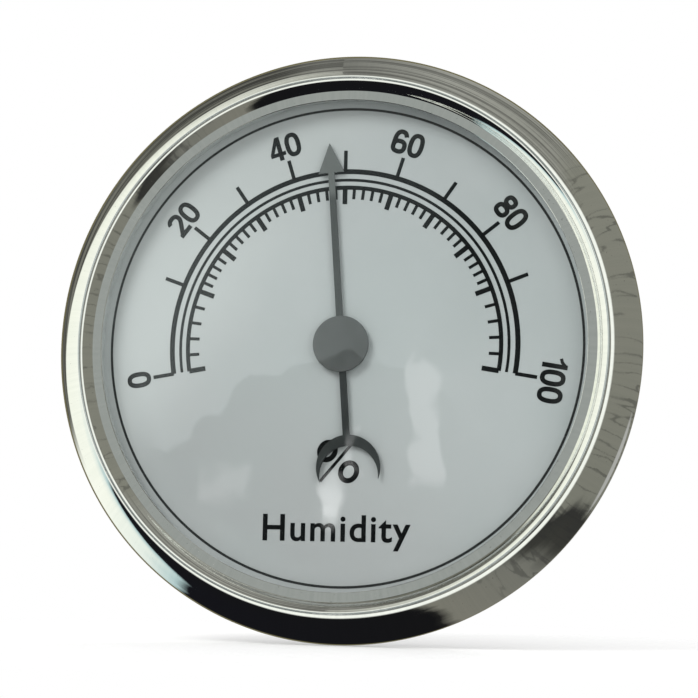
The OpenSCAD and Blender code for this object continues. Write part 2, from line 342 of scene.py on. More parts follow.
def curve_section(p0, p1, p2, p3, steps):
    """(radius, height) points of a cubic curve, without its first."""
    points = []
    for i in range(1, steps + 1):
        t, s = i / steps, 1 - i / steps
        weights = (s * s * s, 3 * s * s * t, 3 * s * t * t, t * t * t)
        point = sum((w * Vector(p) for w, p in zip(weights, (p0, p1, p2, p3))), Vector((0, 0)))
        points.append((point.x, point.y))
    return points


# --------------------------------------------------------- material helpers


def srgb(r, g, b):
    """Colour from 0-255 display values."""
    return tuple(((c / 255 + 0.055) / 1.055) ** 2.4 if c > 10 else c / 3294 for c in (r, g, b)) + (1.0,)


def grey(value):
    """Neutral colour of a linear value."""
    return (value, value, value, 1.0)


def feed(socket, value):
    """Links a socket to another, or sets its value."""
    if isinstance(value, bpy.types.NodeSocket):
        socket.id_data.links.new(value, socket)
    else:
        socket.default_value = value


def add(tree, kind, inputs=None, **settings):
    """Adds a node with its settings and its inputs, by socket name or number."""
    node = tree.nodes.new("ShaderNode" + kind)
    for key, value in settings.items():
        setattr(node, key, value)
    for key, value in (inputs or {}).items():
        feed(node.inputs[key], value)
    return node


def maths(tree, operation, *values, clamp=False):
    """Result of a maths node."""
    node = add(tree, "Math", dict(enumerate(values)), operation=operation, use_clamp=clamp)
    return node.outputs[0]


def vector_maths(tree, operation, *values):
    """Result of a vector maths node, a number for DOT_PRODUCT and LENGTH."""
    node = tree.nodes.new("ShaderNodeVectorMath")
    node.operation = operation
    for socket, value in zip(node.inputs, values):
        feed(socket, value)
    return node.outputs[1] if operation in ("DOT_PRODUCT", "LENGTH") else node.outputs[0]


def mix(tree, factor, a, b, blend="MIX"):
    """Mix of two colours."""
    node = add(tree, "Mix", {0: factor, 6: a, 7: b}, data_type="RGBA", blend_type=blend)
    return node.outputs[2]


def between(tree, value, low, high, out_low=0.0, out_high=1.0):
    """Smooth step of a value from low to high."""
    inputs = {"Value": value, "From Min": low, "From Max": high, "To Min": out_low, "To Max": out_high}
    return add(tree, "MapRange", inputs, interpolation_type="SMOOTHSTEP").outputs[0]


def noise(tree, vector, scale, detail=4.0, rough=0.5):
    """Noise of a vector, from 0 to 1."""
    inputs = {"Vector": vector, "Scale": scale, "Detail": detail, "Roughness": rough}
    return add(tree, "TexNoise", inputs).outputs[0]


def ramp(tree, value, stops):
    """Colour ramp of a value: stops are (position, colour)."""
    node = add(tree, "ValToRGB", {"Fac": value})
    elements = node.color_ramp.elements
    while len(elements) < len(stops):
        elements.new(0.5)
    for element, (position, colour) in zip(elements, stops):
        element.position = position
        element.color = colour
    return node.outputs[0]


def bump(tree, height, distance, strength=1.0, normal=None):
    """Bumped normal: distance in mm is the height of the relief."""
    inputs = {"Height": height, "Distance": distance * MM, "Strength": strength}
    if normal is not None:
        inputs["Normal"] = normal
    return add(tree, "Bump", inputs).outputs[0]


def new_material(name):
    """Empty node material, with its tree and its coordinates in mm."""
    material = bpy.data.materials.new(name)
    material.use_nodes = True
    tree = material.node_tree
    tree.nodes.clear()
    position = add(tree, "TexCoord").outputs["Object"]
    scaled = vector_maths(tree, "SCALE", position)
    scaled.node.inputs["Scale"].default_value = 1 / MM
    return material, tree, scaled


def output(tree, shader):
    """Links a shader to the material output."""
    add(tree, "OutputMaterial", {"Surface": shader})


def principled(tree, colour, roughness, normal=None, **inputs):
    """Principled shader. Further inputs use _ for a space in their names."""
    values = {"Base Color": colour, "Roughness": roughness}
    if normal is not None:
        values["Normal"] = normal
    values.update({key.replace("_", " "): value for key, value in inputs.items()})
    return add(tree, "BsdfPrincipled", values).outputs[0]


def dial_parts(tree, position):
    """(radius, height, unit direction from the dial axis) of a position in mm."""
    split = add(tree, "SeparateXYZ", {0: position})
    flat = add(tree, "CombineXYZ", {0: split.outputs[0], 2: split.outputs[2]}).outputs[0]
    radius = vector_maths(tree, "LENGTH", flat)
    return radius, maths(tree, "MULTIPLY", split.outputs[1], -1.0), vector_maths(tree, "NORMALIZE", flat)


def edge_wear(tree, width):
    """Edge mask, 1 on edges, and the normal of a bevel of width mm that gives it."""
    bevel = add(tree, "Bevel", {"Radius": width * MM}, samples=8).outputs[0]
    normal = add(tree, "NewGeometry").outputs["Normal"]
    facing = vector_maths(tree, "DOT_PRODUCT", bevel, normal)
    return between(tree, maths(tree, "SUBTRACT", 1.0, facing), 0.02, 0.25), bevel


# ---------------------------------------------------------------- materials


def chrome_material():
    """Bright plating with fine turning lines, faint radial strokes and specks."""
    material, tree, position = new_material("chrome")
    radius, height, direction = dial_parts(tree, position)
    rings = add(tree, "CombineXYZ", {0: radius, 1: height}).outputs[0]
    lines = noise(tree, rings, 9.0, 3.0, 0.6)
    strokes = noise(tree, direction, 55.0, 5.0, 0.65)
    haze = noise(tree, position, 0.35, 4.0, 0.6)
    specks = between(tree, noise(tree, position, 3.5, 2.0), 0.70, 0.76)
    relief = bump(tree, haze, 0.02, 0.2, bump(tree, lines, 0.001, 0.2))
    rough = between(tree, haze, 0.35, 0.7, 0.02, 0.05)
    rough = maths(tree, "ADD", rough, maths(tree, "MULTIPLY", specks, 0.12))
    tone = mix(tree, between(tree, strokes, 0.3, 0.75), srgb(240, 242, 238), srgb(247, 248, 244))
    tone = mix(tree, maths(tree, "MULTIPLY", specks, 0.35), tone, srgb(150, 150, 146))
    output(tree, principled(tree, tone, rough, relief, Metallic=1.0))
    return material


def black_plastic_material():
    """Moulded black plastic: satin, with a fine grain, flow marks and rubbed edges."""
    material, tree, position = new_material("black_plastic")
    edge, bevel = edge_wear(tree, 0.25)
    grain = noise(tree, position, 7.0, 5.0, 0.6)
    flow = noise(tree, position, 0.12, 4.0, 0.6)
    dust = between(tree, noise(tree, position, 2.2, 6.0, 0.7), 0.6, 0.8)
    relief = bump(tree, flow, 0.15, 0.25, bump(tree, grain, 0.02, 0.5, bevel))
    tone = mix(tree, flow, srgb(47, 47, 47), srgb(57, 57, 57))
    tone = mix(tree, maths(tree, "MULTIPLY", dust, 0.12), tone, srgb(120, 118, 112))
    tone = mix(tree, maths(tree, "MULTIPLY", edge, 0.35), tone, srgb(104, 104, 102))
    rough = between(tree, grain, 0.3, 0.7, 0.36, 0.46)
    rough = maths(tree, "ADD", rough, maths(tree, "MULTIPLY", flow, 0.08))
    output(tree, principled(tree, tone, rough, relief, Specular_IOR_Level=0.5))
    return material


def glass_material():
    """Flat pane: clear, mirrors by its angle, and lets the lamps through."""
    material, tree, position = new_material("glass")
    ripple = noise(tree, position, 0.06, 2.0)
    smudge = between(tree, noise(tree, position, 0.25, 5.0, 0.65), 0.45, 0.75)
    relief = bump(tree, ripple, 0.25, 0.25)
    radius = dial_parts(tree, position)[0]
    rim = between(tree, radius, GLASS_R - 1.0, GLASS_R)
    tint = mix(tree, rim, (0.985, 0.995, 0.99, 1), (0.55, 0.72, 0.66, 1))
    clear = add(tree, "BsdfTransparent", {"Color": tint}).outputs[0]
    rough = maths(tree, "MULTIPLY", smudge, 0.03)
    shine = add(tree, "BsdfGlossy", {"Color": grey(1.0), "Roughness": rough, "Normal": relief}).outputs[0]
    geometry = add(tree, "NewGeometry")
    normal, incoming = geometry.outputs["Normal"], geometry.outputs["Incoming"]
    facing = maths(tree, "ABSOLUTE", vector_maths(tree, "DOT_PRODUCT", normal, incoming))
    grazing = maths(tree, "POWER", maths(tree, "SUBTRACT", 1.0, facing, clamp=True), 5.0)
    share = maths(tree, "ADD", 0.04, maths(tree, "MULTIPLY", grazing, 0.9))
    pane = add(tree, "MixShader", {0: share, 1: clear, 2: shine}).outputs[0]
    lamp = add(tree, "LightPath").outputs["Is Shadow Ray"]
    output(tree, add(tree, "MixShader", {0: lamp, 1: pane, 2: clear}).outputs[0])
    return material


def dial_sheet_material():
    """Printed dial face: grey-white lacquer on paper, slightly uneven, with painted shade darker towards the
    lower left and near the top under the bezel, and painted light towards the upper left.
    """
    material, tree, position = new_material("dial_white")
    fibre = noise(tree, position, 5.0, 6.0, 0.7)
    cloud = noise(tree, position, 0.045, 3.0, 0.5)
    # Painted shade: the sheet darkens towards the lower left, where less light falls.
    painted_shade_lower_left = vector_maths(tree, "DOT_PRODUCT", position, Vector((-0.6, 0, -0.8)))
    tone = mix(tree, between(tree, painted_shade_lower_left, -8.0, 24.0), srgb(180, 184, 185), srgb(165, 167, 168))
    tone = mix(tree, between(tree, cloud, 0.35, 0.7, 0.0, 0.4), tone, srgb(165, 173, 173))
    tone = mix(tree, between(tree, fibre, 0.4, 0.8, 0.0, 0.12), tone, srgb(134, 141, 140))
    # Painted light: the sheet is lighter towards the upper left, where more light falls.
    left = vector_maths(tree, "DOT_PRODUCT", position, Vector((-0.8, 0, 0.6)))
    tone = mix(tree, between(tree, left, 8.0, 20.0), tone, srgb(186, 190, 190))
    # Painted shadow: the sheet darkens towards the top, where the bezel shades it.
    top = add(tree, "SeparateXYZ", {0: position}).outputs[2]
    tone = mix(tree, between(tree, top, 6.0, 24.0, 0.0, 0.12), tone, srgb(130, 134, 135))
    rough = between(tree, fibre, 0.3, 0.7, 0.42, 0.58)
    output(tree, principled(tree, tone, rough, bump(tree, fibre, 0.006, 0.6)))
    return material


def ink_material():
    """Screen print: near black, a little uneven at a fine scale, with painted light that makes it lighter
    towards the left.
    """
    material, tree, position = new_material("print_ink")
    density = noise(tree, position, 6.0, 5.0, 0.65)
    # Painted light: the print is lighter towards the left and darker towards the right.
    across = add(tree, "SeparateXYZ", {0: position}).outputs[0]
    tone = mix(tree, between(tree, across, -SHEET_R, SHEET_R), srgb(11, 15, 16), srgb(6, 8, 9))
    tone = mix(tree, between(tree, density, 0.5, 0.85, 0.0, 0.25), tone, srgb(40, 46, 47))
    rough = between(tree, density, 0.3, 0.7, 0.45, 0.6)
    output(tree, principled(tree, tone, rough, bump(tree, density, 0.003), Specular_IOR_Level=0.08))
    return material


def board_material():
    """Tan fibre board: speckled, with short fibres and darker flecks."""
    material, tree, position = new_material("tan_board")
    stretched = vector_maths(tree, "MULTIPLY", position, Vector((1.0, 1.0, 0.22)))
    fibre = noise(tree, stretched, 4.0, 6.0, 0.7)
    blotch = noise(tree, position, 0.3, 4.0, 0.6)
    fleck = between(tree, noise(tree, position, 3.0, 2.0), 0.66, 0.74)
    tone = mix(tree, between(tree, fibre, 0.3, 0.7), srgb(160, 142, 100), srgb(190, 173, 127))
    tone = mix(tree, between(tree, blotch, 0.4, 0.7, 0.0, 0.35), tone, srgb(176, 163, 126))
    tone = mix(tree, maths(tree, "MULTIPLY", fleck, 0.5), tone, srgb(108, 92, 62))
    rough = between(tree, fibre, 0.3, 0.7, 0.7, 0.9)
    output(tree, principled(tree, tone, rough, bump(tree, fibre, 0.05, 0.7)))
    return material


def metal_material(name, light, dark, roughness, brushed=(1.0, 1.0, 0.1)):
    """Sheet or turned metal: brushed one way, mottled by handling, brighter at edges."""
    material, tree, position = new_material(name)
    edge, bevel = edge_wear(tree, 0.08)
    brush = noise(tree, vector_maths(tree, "MULTIPLY", position, Vector(brushed)), 14.0, 4.0, 0.6)
    stain = noise(tree, position, 0.5, 5.0, 0.65)
    tone = mix(tree, between(tree, stain, 0.35, 0.7), light, dark)
    tone = mix(tree, maths(tree, "MULTIPLY", edge, 0.15), tone, grey(0.9))
    rough = between(tree, stain, 0.3, 0.7, roughness, roughness + 0.12)
    rough = maths(tree, "ADD", rough, maths(tree, "MULTIPLY", brush, 0.08))
    output(tree, principled(tree, tone, rough, bump(tree, brush, 0.008, 0.6, bevel), Metallic=1.0))
    return material


def paint_material(name, light, dark, roughness, head=None):
    """Sprayed paint on a thin pressing: orange peel, worn edges, a paler coat on the head."""
    material, tree, position = new_material(name)
    edge, bevel = edge_wear(tree, 0.05)
    peel = noise(tree, position, 4.5, 4.0, 0.55)
    cloud = noise(tree, position, 0.35, 3.0)
    chips = maths(tree, "MULTIPLY", edge, between(tree, noise(tree, position, 3.0, 4.0, 0.7), 0.5, 0.7))
    tone = mix(tree, between(tree, cloud, 0.35, 0.7), light, dark)
    if head:
        along = add(tree, "SeparateXYZ", {0: position}).outputs[2]
        shaft = between(tree, along, -4.0, 6.0, 0.0, 0.28)
        arrow = between(tree, along, TIP_R - 7.0, TIP_R - 5.8, 0.0, 0.72)
        tone = mix(tree, maths(tree, "ADD", shaft, arrow), tone, head)
    tone = mix(tree, maths(tree, "MULTIPLY", chips, 0.3), tone, srgb(150, 155, 155))
    rough = between(tree, peel, 0.3, 0.7, roughness, roughness + 0.12)
    output(tree, principled(tree, tone, rough, bump(tree, peel, 0.006, 0.6, bevel)))
    return material


def moulding_material(name, light, dark, roughness, soft=0.0):
    """Plain moulded plastic: fine grain, faint clouding, and some light let in."""
    material, tree, position = new_material(name)
    bevel = edge_wear(tree, 0.1)[1]
    grain = noise(tree, position, 8.0, 5.0, 0.6)
    cloud = noise(tree, position, 0.4, 4.0, 0.6)
    tone = mix(tree, between(tree, cloud, 0.35, 0.7), light, dark)
    rough = between(tree, grain, 0.3, 0.7, roughness, roughness + 0.1)
    inputs = {"Subsurface_Weight": soft, "Subsurface_Scale": 0.5 * MM} if soft else {}
    output(tree, principled(tree, tone, rough, bump(tree, grain, 0.01, 0.5, bevel), **inputs))
    return material


# ------------------------------------------------------------------- pieces


def bezel_profile():
    """Section of the rolled bezel, finely stepped, with its edges rounded."""
    overhang = BEZEL_R - LIP_OUTER_R
    side_r = (overhang**2 + SIDE_H**2) / (2 * overhang)
    centre_r = BEZEL_R - side_r
    lip_angle = -math.degrees(math.asin(SIDE_H / side_r))
    inner_r = side_r - METAL_T
    inner_angle = -math.degrees(math.asin((SIDE_H - METAL_T) / inner_r))
    edge = (OPENING_R, GLASS_FRONT + FRONT_LIP_T)
    corner = (OPENING_R + FRONT_LIP_W, edge[1])
    under_edge = (corner[0] + 0.25, GLASS_FRONT)
    under_crest = (CREST_R, CREST_H - METAL_T)
    lip_round = 0.06
    points = [(LIP_R, BEZEL_BACK + lip_round), (LIP_R + lip_round, BEZEL_BACK)]
    points += [(LIP_OUTER_R - lip_round, BEZEL_BACK)]
    points += arc_section(centre_r, SHOULDER_H, side_r, lip_angle + 1.5, 0, 14)
    points += slope_section(BEZEL_R - CREST_R, CREST_H - SHOULDER_H, 36)[1:]
    above_corner = (corner[0] + 0.3, corner[1] + 0.28)
    points += curve_section((CREST_R, CREST_H), (CREST_R - 0.7, CREST_H), above_corner, corner, 24)
    points += [(OPENING_R + 0.04, edge[1]), (OPENING_R, edge[1] - 0.04), (OPENING_R, GLASS_FRONT), under_edge]
    above_edge = (under_edge[0] + 0.3, GLASS_FRONT + 0.25)
    points += curve_section(under_edge, above_edge, (CREST_R - 0.5, under_crest[1]), under_crest, 6)
    inside = slope_section(BEZEL_R - CREST_R - METAL_T, CREST_H - SHOULDER_H - METAL_T, 12)
    points += list(reversed(inside))[1:]
    points += arc_section(centre_r, SHOULDER_H, inner_r, 0, inner_angle, 6)[1:]
    points += [(LIP_R, BEZEL_BACK + METAL_T)]
    return points


def slope_section(width, height, steps):
    """Quarter superellipse from the outside of the bezel up to its crest."""
    points = []
    for i in range(steps + 1):
        a = math.pi / 2 * i / steps
        c, s = max(math.cos(a), 0) ** 1.2, max(math.sin(a), 0) ** 1.2
        points.append((CREST_R + width * c, SHOULDER_H + height * s))
    return points


def lip_drift(index, degrees):
    """The pressed rear lip is slightly wavy where it was rolled over the flange."""
    if index > 1:
        return 0.0
    a = math.radians(degrees)
    return 0.035 * math.sin(17 * a + 0.6) + 0.025 * math.sin(41 * a) + 0.015 * math.sin(97 * a + 1.1)


def make_bezel():
    """Rolled and plated bezel."""
    bm = bmesh.new()
    revolve(bm, bezel_profile(), 384, lip_drift)
    return to_metres(shape_from("bezel_chrome", bm))


def case_profile():
    """Section of the moulded case, as the CAD has it, with finer edges."""
    step_h = FLANGE_BACK + METAL_T + 0.05
    rib_back = FLANGE_BACK - RIB_RISE
    step_r = LIP_R - 0.15
    points = [(0, 0)]
    points += arc_section(CUP_R - 0.4, 0.4, 0.4, -90, 0, 8)
    points += [(CUP_R, rib_back), (RIB_R, rib_back), (RIB_R, FLANGE_BACK)]
    points += arc_section(step_r - 0.35, FLANGE_BACK + 0.35, 0.35, -90, 0, 8)
    points += [(step_r, step_h), (FLANGE_R, step_h), (FLANGE_R, FLANGE_FRONT), (RIB_R, FLANGE_FRONT)]
    points += [(RIB_R, FLANGE_FRONT - AIR_GAP), (CUP_INNER_R, FLANGE_FRONT - AIR_GAP)]
    return points + [(CUP_INNER_R, REAR_WALL), (0, REAR_WALL)]


def keyhole_outline():
    """Round head with a narrower slot above it, rounded at its top."""
    shoulder = math.degrees(math.asin(KEYHOLE_SLOT_R / KEYHOLE_R))
    head = arc(KEYHOLE_R, shoulder, 360 - shoulder, 5.0)
    top = arc(KEYHOLE_SLOT_R, -90, 90, 7.5)
    return [(x, z + KEYHOLE_Z) for x, z in head] + [(x, z + KEYHOLE_TOP_Z) for x, z in top]


def case_cutters():
    """All openings of the case as one helper object."""
    bm = bmesh.new()
    pitch = 360 / VENTS
    middle, width = (NECK_R + RIB_R + 0.05) / 2, RIB_R + 0.05 - NECK_R
    for i in range(VENTS):
        centre = (i + 0.5) * pitch
        line = arc(middle, centre - pitch / 4, centre + pitch / 4)
        ribbon(bm, line, width, FLANGE_BACK - RIB_RISE - 0.5, FLANGE_FRONT + 1)
    plate(bm, [keyhole_outline()], -1, REAR_WALL + 1)
    plate(bm, [circle(0, 0, ACCESS_R, 96)], -1, REAR_WALL + 1)
    plate(bm, [circle(0, LOWER_HOLE_Z, LOWER_HOLE_R, 96)], -1, REAR_WALL + 1)
    for side in (-1, 1):
        plate(bm, [circle(side * POST_X, 0, POST_HOLE_R, 32)], POST_HOLE_BACK, FLANGE_BACK)
    return shape_from("case_cutters", bm)


def case_posts():
    """Posts that hold the movement plate, as one helper object."""
    bm = bmesh.new()
    for side in (-1, 1):
        plate(bm, [circle(side * POST_X, 0, POST_R)], REAR_WALL - 0.2, heights_of("movement_plate")[0])
    return shape_from("case_posts", bm)


def make_housing():
    """Moulded cup and flange, with its vents, holes and posts, edges softened."""
    bm = bmesh.new()
    revolve(bm, case_profile(), 320)
    obj = shape_from("housing_shell", bm)
    helpers = [(case_posts(), "UNION"), (case_cutters(), "DIFFERENCE")]
    for helper, operation in helpers:
        cut = obj.modifiers.new(operation, "BOOLEAN")
        cut.operation, cut.solver, cut.object = operation, "EXACT", helper
    bake_modifiers(obj)
    for helper, _ in helpers:
        remove(helper)
    soften(obj, 30)
    return to_metres(obj)


def make_hub():
    """Painted disc over the arbor, with a rounded edge and its boss behind."""
    bore_r, boss_r, edge = 0.6, POINTER_EYE_R, 0.12
    cap_h = HUB_FRONT - 0.15
    profile = [(0, cap_h), (bore_r, cap_h), (bore_r, HUB_BACK), (boss_r, HUB_BACK)]
    profile += [(boss_r, POINTER_FRONT), (HUB_R, POINTER_FRONT)]
    profile += arc_section(HUB_R - edge, HUB_FRONT - edge, edge, 0, 90, 6)
    profile += [(HUB_R * 0.5, HUB_FRONT), (0, HUB_FRONT)]
    bm = bmesh.new()
    revolve(bm, profile, 128)
    return to_metres(shape_from("hub_disc", bm))


def pointer_outline():
    """Outline of the pointer, drawn upright: arrow, shaft and crescent."""
    (outer_r, outer_z), (inner_r, inner_z) = CRESCENT, CRESCENT_CUT
    gap = outer_z - inner_z
    drop = (outer_r**2 - inner_r**2 + gap**2) / (2 * gap)
    horn = math.degrees(math.acos(-drop / outer_r))
    horn_in = math.degrees(math.acos((gap - drop) / inner_r))
    neck, tail = 0.375, 0.4
    neck_angle = math.degrees(math.asin(tail / outer_r))
    base_z = TIP_R - ARROW_LEN
    steps = 24

    def sweep(radius, centre_z, start, end):
        angles = [start + (end - start) * i / steps for i in range(steps + 1)]
        return [(p[0], p[1] + centre_z) for p in (polar(radius, a) for a in angles)]

    eye_angle = math.degrees(math.asin(tail / POINTER_RING_R))
    right = sweep(POINTER_RING_R, 0, eye_angle, 180 - eye_angle) + sweep(outer_r, outer_z, neck_angle, horn)
    inner = sweep(inner_r, inner_z, horn_in, -horn_in)[1:-1]
    left = sweep(outer_r, outer_z, -horn, -neck_angle) + sweep(POINTER_RING_R, 0, eye_angle - 180, -eye_angle)
    head = [(-neck, base_z), (-ARROW_HALF, base_z), (0, TIP_R), (ARROW_HALF, base_z), (neck, base_z)]
    return head[4:] + right + inner + left + head[:4]


def make_pointer():
    """Stamped pointer, at its angle at rest. The arbor passes through its eye."""
    a = math.radians(POINTER_REST)
    cos, sin = math.cos(a), math.sin(a)
    turned = [(x * cos + z * sin, z * cos - x * sin) for x, z in pointer_outline()]
    bm = bmesh.new()
    plate(bm, [turned, circle(0, 0, POINTER_EYE_R, 40)], POINTER_BACK, POINTER_FRONT)
    return to_metres(shape_from("pointer_arrow", bm, 20))


def coil_line(offset):
    """(x, z) points of the coil from its collet to its post, moved outwards by offset."""
    total = COIL_TURNS * 96
    points = []
    for i in range(total + 1):
        t = i / total
        degrees = 180 + 360 * COIL_TURNS * (1 - t)
        points.append(polar(COIL_R0 + (COIL_R1 - COIL_R0) * t + offset, degrees))
    return points


def make_coil_layer(name, offset):
    """One layer of the two-layer strip."""
    bm = bmesh.new()
    ribbon(bm, coil_line(offset), LAYER_T, COIL_BACK, COIL_FRONT)
    return to_metres(shape_from(name, bm, 50))


def wind(obj):
    """Bakes the placement of a coil layer into its mesh."""
    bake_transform(obj)


# -------------------------------------------------------------------- print


def dial_angle(value):
    """Angle of a humidity value. The first and last ten percent are spread out."""
    if value < 10:
        return 3.0 * value - ARC_END
    if value > 90:
        return ARC_END - 3.0 * (100 - value)
    return 1.74 * (value - 50)


def ink(bm, points, width, closed=False):
    """A printed stroke on the front of the sheet."""
    ribbon(bm, points, width, SHEET_FRONT - INK_SINK, INK_H, closed)


def print_border(bm):
    """Circle close to the edge of the dial."""
    ink(bm, arc(BORDER_R, 0, 359, 1.0), 0.3, closed=True)


def print_scale(bm):
    """Three arcs, a mark every two percent inside and every ten percent outside."""
    for radius, width in ((ARC_OUTER_R, 0.6), (ARC_MIDDLE_R, 0.34), (ARC_INNER_R, 0.5)):
        ink(bm, arc(radius, -ARC_END, ARC_END, 0.9), width)
    for value in range(0, 101, 2):
        a = dial_angle(value)
        if value % 10 == 0:
            ink(bm, [polar(ARC_INNER_R, a), polar(TENS_INNER_R, a)], 0.58)
            ink(bm, [polar(ARC_OUTER_R, a), polar(TENS_OUTER_R, a)], 0.44)
        else:
            ink(bm, [polar(ARC_INNER_R, a), polar(TWOS_INNER_R, a)], 0.37)


def oval(cx, cy, rx, ry, start=0, end=360, steps=36):
    """Points of a squarish oval, clockwise from its top, without a repeated end."""
    full = end - start == 360
    points = []
    for i in range(steps if full else steps + 1):
        a = math.radians(start + (end - start) * i / steps)
        s, c = math.sin(a), math.cos(a)
        x = math.copysign(abs(s) ** 0.8, s)
        y = math.copysign(abs(c) ** 0.8, c)
        points.append((cx + rx * x, cy + ry * y))
    return points


def digit_strokes(digit):
    """Strokes of a digit in a cell 0.64 wide and 1 high: (points, width, closed)."""
    s = 0.185
    low, high, left, right = s / 2, 1 - s / 2, s / 2, 0.64 - s / 2
    mid = 0.32
    wide = right - mid
    if digit == "0":
        return [(oval(mid, 0.5, wide, high - 0.5), s, True)]
    if digit == "1":
        flag = [(0.06, 0.70), (0.20, 0.76), (0.36, 0.93)]
        return [([(0.38, 0), (0.38, 1)], s, False), (flag, 0.13, False)]
    if digit == "2":
        bowl = oval(mid, 0.70, wide, high - 0.70, -80, 105)
        bowl += [(right - 0.07, 0.53), (left + 0.06, 0.14)]
        return [(bowl, s, False), ([(0.02, low), (0.62, low)], s, False)]
    if digit == "4":
        return [
            ([(0.42, 0), (0.42, 1)], s, False),
            ([(0.38, 0.95), (0.08, 0.33)], 0.15, False),
            ([(0.0, 0.27), (0.64, 0.27)], 0.16, False),
        ]
    if digit == "6":
        back = oval(mid, 0.5, wide, high - 0.5, -90, 62)
        return [
            (oval(mid, 0.305, wide, 0.305 - low), s, True),
            ([(left, 0.30)] + back, s, False),
        ]
    upper, lower = 0.74, 0.28
    return [
        (oval(mid, upper, wide * 0.86, high - upper), s, True),
        (oval(mid, lower, wide, lower - low), s, True),
    ]


def print_number(bm, text, degrees):
    """A number with its top outwards, centred on a direction of the dial."""
    height, gap = 2.97, 0.1
    widths = [0.5 if c == "1" else 0.64 for c in text]
    total = sum(widths) * height + gap * (len(text) - 1)
    cursor = -total / 2
    out, across = Vector(polar(1, degrees)), Vector(polar(1, degrees + 90))
    for character, width in zip(text, widths):
        for points, stroke, closed in digit_strokes(character):
            line = [out * (NUMBERS_R + v * height) + across * (cursor + u * height) for u, v in points]
            ink(bm, [(p.x, p.y) for p in line], stroke * height, closed)
        cursor += width * height + gap


def print_numbers(bm):
    """Numbers every twenty percent."""
    for value in range(0, 101, 20):
        print_number(bm, str(value), dial_angle(value))


def leaning_ring(cx, cz, half_w, half_h, lean):
    """Closed ellipse of (x, z) points, turned clockwise by lean degrees."""
    along, across = Vector(polar(half_h, lean)), Vector(polar(half_w, lean + 90))
    points = []
    for x, z in circle(0, 0, 1, 40):
        p = across * x + along * z
        points.append((cx + p.x, cz + p.y))
    return points


def print_percent(bm):
    """Percent sign under the hub."""
    ink(bm, [(-2.25, -16.1), (1.7, -11.4)], 0.36)
    ink(bm, leaning_ring(1.13, -14.95, 0.92, 1.08, 30), 0.6, closed=True)
    ink(bm, leaning_ring(-1.45, -12.55, 0.90, 1.06, 30), 0.6, closed=True)


def make_word():
    """Plain caption in the lower part of the dial."""
    curve = bpy.data.curves.new("print_caption", "FONT")
    curve.body = "Humidity"
    curve.align_x = "CENTER"
    curve.size = 4.35
    curve.space_character = 1.1
    curve.offset = 0.07
    curve.extrude = (INK_H - SHEET_FRONT + INK_SINK) / 2
    text = bpy.data.objects.new("print_caption_text", curve)
    bpy.context.scene.collection.objects.link(text)
    graph = bpy.context.evaluated_depsgraph_get()
    mesh = bpy.data.meshes.new_from_object(text.evaluated_get(graph))
    bpy.data.objects.remove(text)
    obj = bpy.data.objects.new("print_caption", mesh)
    bpy.context.scene.collection.objects.link(obj)
    middle = (INK_H + SHEET_FRONT - INK_SINK) / 2
    mesh.transform(Matrix.Translation(place(-0.4, -23.0, middle)) @ Matrix.Rotation(math.pi / 2, 4, "X"))
    mesh.materials.clear()
    return to_metres(obj)


def make_print(name, draw):
    """One printed mark group as an object."""
    bm = bmesh.new()
    draw(bm)
    return to_metres(shape_from(name, bm, 50))


# ------------------------------------------------------- stage and lighting


def make_floor(bottom):
    """Pale round floor under the object, fading into the background."""
    bm = bmesh.new()
    bmesh.ops.create_circle(bm, cap_ends=True, segments=96, radius=0.4)
    bmesh.ops.translate(bm, verts=bm.verts, vec=(0, 0, bottom))
    mesh = bpy.data.meshes.new("floor")
    bm.to_mesh(mesh)
    bm.free()
    floor = bpy.data.objects.new("floor", mesh)
    bpy.context.scene.collection.objects.link(floor)
    floor.visible_glossy = False
    material, tree, position = new_material("floor_paper")
    distance = vector_maths(tree, "LENGTH", position)
    tooth = noise(tree, position, 0.8, 5.0, 0.6)
    tone = mix(tree, tooth, grey(0.66), grey(0.70))
    glow = {"Emission_Color": grey(1.0), "Emission_Strength": 0.28}
    paper = principled(tree, tone, 0.8, bump(tree, tooth, 0.05), **glow)
    clear = add(tree, "BsdfTransparent").outputs[0]
    fade = between(tree, distance, 36.0, 85.0)
    output(tree, add(tree, "MixShader", {0: fade, 1: paper, 2: clear}).outputs[0])
    mesh.materials.append(material)


def patch(tree, direction, middle, full, clear):
    """1 within an angle of a direction, fading to 0 at a wider one."""
    toward = vector_maths(tree, "DOT_PRODUCT", direction, middle)
    return between(tree, toward, math.cos(math.radians(clear)), math.cos(math.radians(full)))


def span(tree, value, start, full, end, clear):
    """1 from full to end, fading to 0 at start and at clear."""
    return maths(tree, "MULTIPLY", between(tree, value, start, full), between(tree, value, clear, end))


def studio_turn(tree, x, z):
    """Angle clockwise from the top of the slope that mirrors a direction to the camera."""
    across, above = maths(tree, "SUBTRACT", x, BEHIND.x), maths(tree, "SUBTRACT", z, BEHIND.z)
    turn = maths(tree, "DEGREES", maths(tree, "ARCTAN2", across, above))
    return maths(tree, "FLOORED_MODULO", turn, 360.0)


def studio_swayed(tree, turn, tilt, sway):
    """The angle with uneven edges, and slanted ones past the dark floor."""
    amount = between(tree, turn, 170.0, 205.0, 4.0, 26.0)
    slant = maths(tree, "MULTIPLY", between(tree, tilt, 90.0, 40.0), amount)
    swayed = maths(tree, "SUBTRACT", turn, maths(tree, "ADD", slant, sway))
    return maths(tree, "FLOORED_MODULO", swayed, 360.0)


